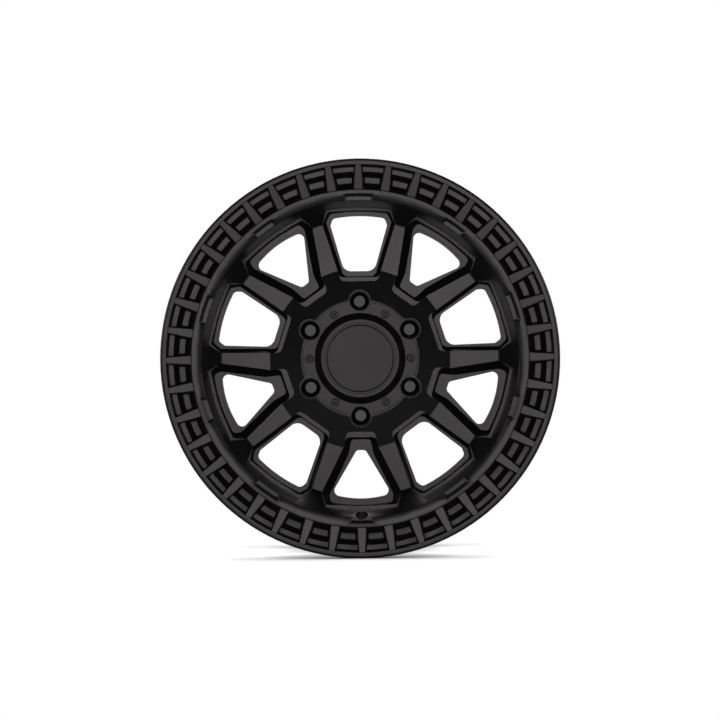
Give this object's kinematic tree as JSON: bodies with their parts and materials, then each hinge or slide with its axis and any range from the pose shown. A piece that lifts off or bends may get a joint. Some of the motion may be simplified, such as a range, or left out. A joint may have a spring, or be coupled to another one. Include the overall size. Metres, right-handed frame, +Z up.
{
  "type": "alloy wheel",
  "caption": "Black cast alloy road wheel with a ribbed outer ring, recessed spokes between stepped windows, and a bolt-on centre cap.",
  "frame": {"origin": "centre of the hub mounting face, on the wheel's axis", "axes": "+Y along the axis towards the vehicle, so the front face looks along -Y; +Z up, with a wide window at the top and the valve hole at the bottom"},
  "size_m": [0.477, 0.2519, 0.477],
  "materials": {
    "casting": "satin black powder coat",
    "cap": "satin black",
    "disc": "satin black",
    "screws": "black oxide"
  },
  "bodies": {
    "root": {"wheel_casting": "casting", "centre_cap": "cap", "cap_disc": "disc", "cap_screws": "screws"}
  },
  "joints": []
}
